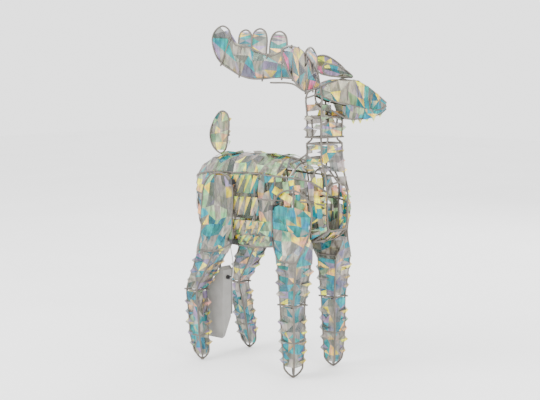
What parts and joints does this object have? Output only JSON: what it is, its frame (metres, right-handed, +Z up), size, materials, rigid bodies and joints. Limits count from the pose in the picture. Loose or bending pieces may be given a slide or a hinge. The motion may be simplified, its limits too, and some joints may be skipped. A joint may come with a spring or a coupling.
{
  "type": "light up yard reindeer",
  "caption": "Standing wire-frame reindeer wrapped in iridescent film ribbon, with a lift-off head, pull-off palmate antlers, clip-on legs, LED string and hanging battery box.",
  "frame": {"origin": "on the ground, under the middle of the object's bounding box", "axes": "+Z up, +X from the tail towards the chest, +Y towards the reindeer's left; the head is turned to its left"},
  "size_m": [0.4588, 0.3912, 0.7138],
  "materials": {
    "frame_wire": "grey-brown coating",
    "film_ribbon": "iridescent, part see-through",
    "black_plastic": "satin",
    "case_plastic": "satin",
    "seal_rubber": "matte",
    "plated_steel": "nickel plated",
    "cell_jacket": "gloss",
    "circuit_board": "solder mask",
    "light_lead": "clear insulation"
  },
  "bodies": {
    "body": {"torso_frame": "frame_wire", "leg_front_right_frame": "frame_wire", "leg_front_left_frame": "frame_wire", "leg_hind_right_frame": "frame_wire", "leg_hind_left_frame": "frame_wire", "tail_frame": "frame_wire", "torso_ribbon_right": "film_ribbon", "torso_ribbon_left": "film_ribbon", "torso_ribbon_back": "film_ribbon", "torso_ribbon_belly": "film_ribbon", "torso_ribbon_rump": "film_ribbon", "torso_ribbon_chest": "film_ribbon", "leg_front_right_lower_ribbon": "film_ribbon", "leg_front_right_upper_ribbon": "film_ribbon", "leg_front_right_shoulder_ribbon": "film_ribbon", "leg_front_left_lower_ribbon": "film_ribbon", "leg_front_left_upper_ribbon": "film_ribbon", "leg_front_left_shoulder_ribbon": "film_ribbon", "leg_hind_right_lower_ribbon": "film_ribbon", "leg_hind_right_upper_ribbon": "film_ribbon", "leg_hind_right_hip_ribbon": "film_ribbon", "leg_hind_left_lower_ribbon": "film_ribbon", "leg_hind_left_upper_ribbon": "film_ribbon", "leg_hind_left_hip_ribbon": "film_ribbon", "tail_ribbon": "film_ribbon", "clip_front_right_1": "black_plastic", "clip_front_right_2": "black_plastic", "clip_front_left_1": "black_plastic", "clip_front_left_2": "black_plastic", "clip_hind_right_1": "black_plastic", "clip_hind_right_2": "black_plastic", "clip_hind_left_1": "black_plastic", "clip_hind_left_2": "black_plastic", "battery_hanger": "black_plastic", "cable_gland": "black_plastic", "battery_case": "case_plastic", "battery_door_seal": "seal_rubber", "contact_plate_top": "plated_steel", "contact_plate_bottom": "plated_steel", "battery_cell_1": "cell_jacket", "battery_cell_2": "cell_jacket", "battery_cell_3": "cell_jacket", "circuit_board": "circuit_board", "light_string_body": "light_lead"},
    "head": {"head_frame": "frame_wire", "head_ribbon": "film_ribbon", "muzzle_ribbon": "film_ribbon", "neck_sleeve_ribbon": "film_ribbon", "ear_right_frame": "frame_wire", "ear_right_ribbon": "film_ribbon", "ear_left_frame": "frame_wire", "ear_left_ribbon": "film_ribbon", "light_string_head": "light_lead"},
    "antler_right": {"antler_right_frame": "frame_wire", "antler_right_ribbon": "film_ribbon"},
    "antler_left": {"antler_left_frame": "frame_wire", "antler_left_ribbon": "film_ribbon"},
    "battery_door": {"battery_door": "case_plastic", "door_screw": "plated_steel"},
    "power_button": {"power_button": "black_plastic"}
  },
  "joints": [
    {"name": "head_lift", "type": "slide", "parent": "body", "child": "head", "axis": [0, 0, 1], "range_m": [0, 0.06]},
    {"name": "antler_right_pull", "type": "slide", "parent": "head", "child": "antler_right", "axis": [0.377, -0.9262, 0], "range_m": [0, 0.05]},
    {"name": "antler_left_pull", "type": "slide", "parent": "head", "child": "antler_left", "axis": [-0.9906, -0.1366, 0], "range_m": [0, 0.05]},
    {"name": "battery_door_hinge", "type": "hinge", "parent": "body", "child": "battery_door", "pos_m": [-0.1376, 0.0649, 0.146], "axis": [0, 0, -1], "range_deg": [0, 100]},
    {"name": "power_button_press", "type": "slide", "parent": "body", "child": "power_button", "axis": [0.7833, 0, -0.6217], "range_m": [0, 0.0015], "stiffness_N_per_m": 400}
  ]
}
